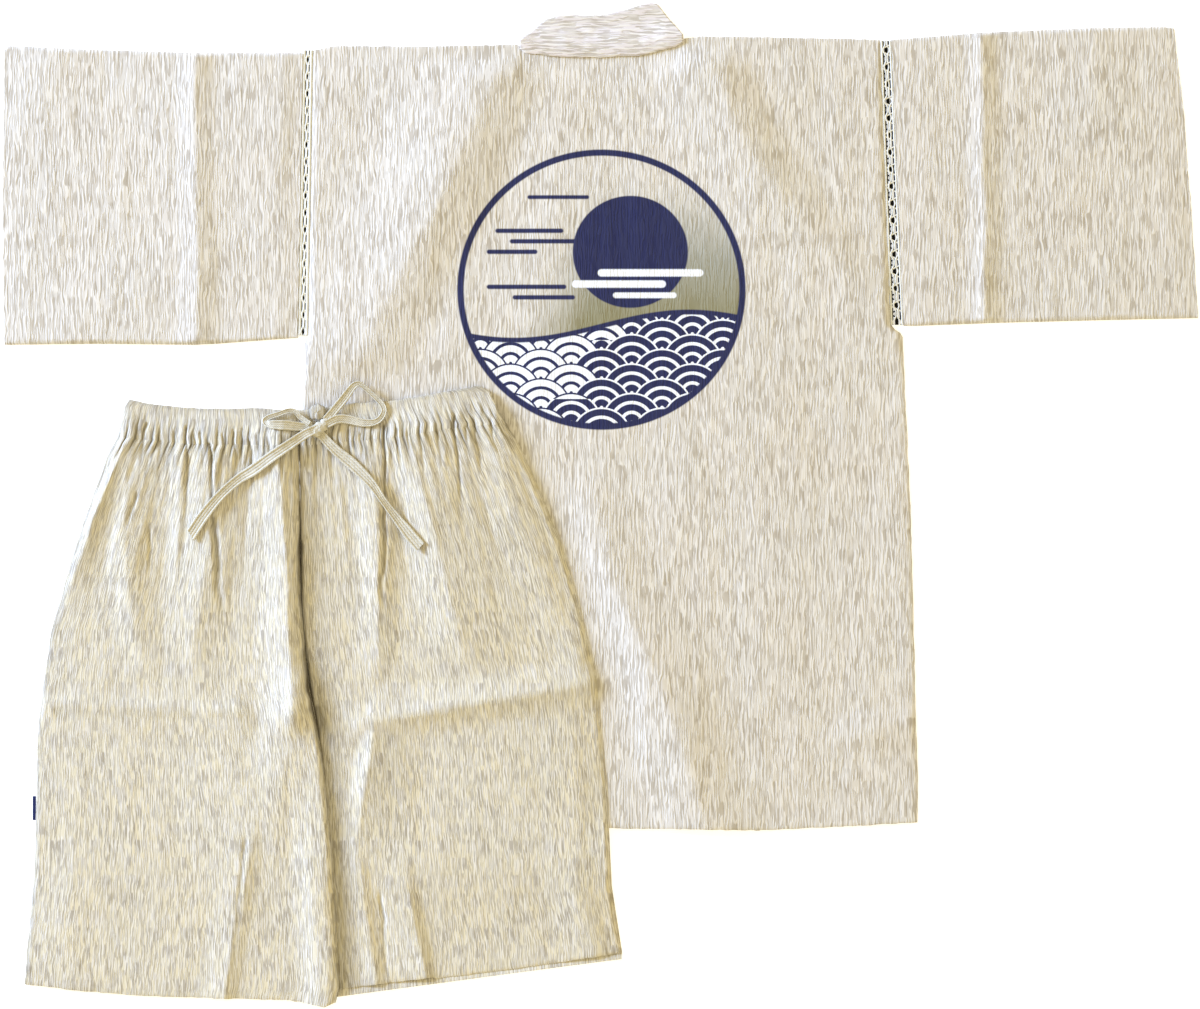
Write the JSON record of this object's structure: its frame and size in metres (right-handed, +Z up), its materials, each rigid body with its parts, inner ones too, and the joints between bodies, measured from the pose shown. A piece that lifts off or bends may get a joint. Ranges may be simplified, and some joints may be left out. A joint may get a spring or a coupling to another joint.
{
  "type": "jinbei set laid flat",
  "caption": "Short kimono-cut summer jacket laid back upwards with openwork at its sleeve seams, and gathered drawstring shorts laid over it.",
  "frame": {"origin": "on the surface that the set lies on, under the middle of its outline", "axes": "+X across the jacket from its left cuff to its right one as the back is seen, +Y from the hems to the collar, +Z up from the surface"},
  "size_m": [1.1948, 1.0018, 0.0182],
  "materials": {
    "crinkled_cotton": "matte crinkled cotton with fine upright greige streaks",
    "collar_cotton": "the same cotton cut across, its streaks along the band",
    "lace_cotton": "matte cream cotton openwork",
    "tape_cotton": "matte folded cotton tape",
    "navy_tab": "plain navy woven tape"
  },
  "bodies": {
    "root": {"back_body": "crinkled_cotton", "front_left": "crinkled_cotton", "front_right": "crinkled_cotton", "collar_back": "collar_cotton", "collar_run_left": "collar_cotton", "collar_run_right": "collar_cotton", "sleeve_left": "crinkled_cotton", "sleeve_right": "crinkled_cotton", "lace_left_back": "lace_cotton", "lace_left_front": "lace_cotton", "lace_right_back": "lace_cotton", "lace_right_front": "lace_cotton", "waistband_front": "crinkled_cotton", "waistband_back": "crinkled_cotton", "leg_front_left": "crinkled_cotton", "leg_front_right": "crinkled_cotton", "leg_back_left": "crinkled_cotton", "leg_back_right": "crinkled_cotton", "drawstring_tail_left": "tape_cotton", "drawstring_tail_right": "tape_cotton", "drawstring_loop_left": "tape_cotton", "drawstring_loop_right": "tape_cotton", "drawstring_knot": "tape_cotton", "side_tab": "navy_tab"}
  },
  "joints": []
}
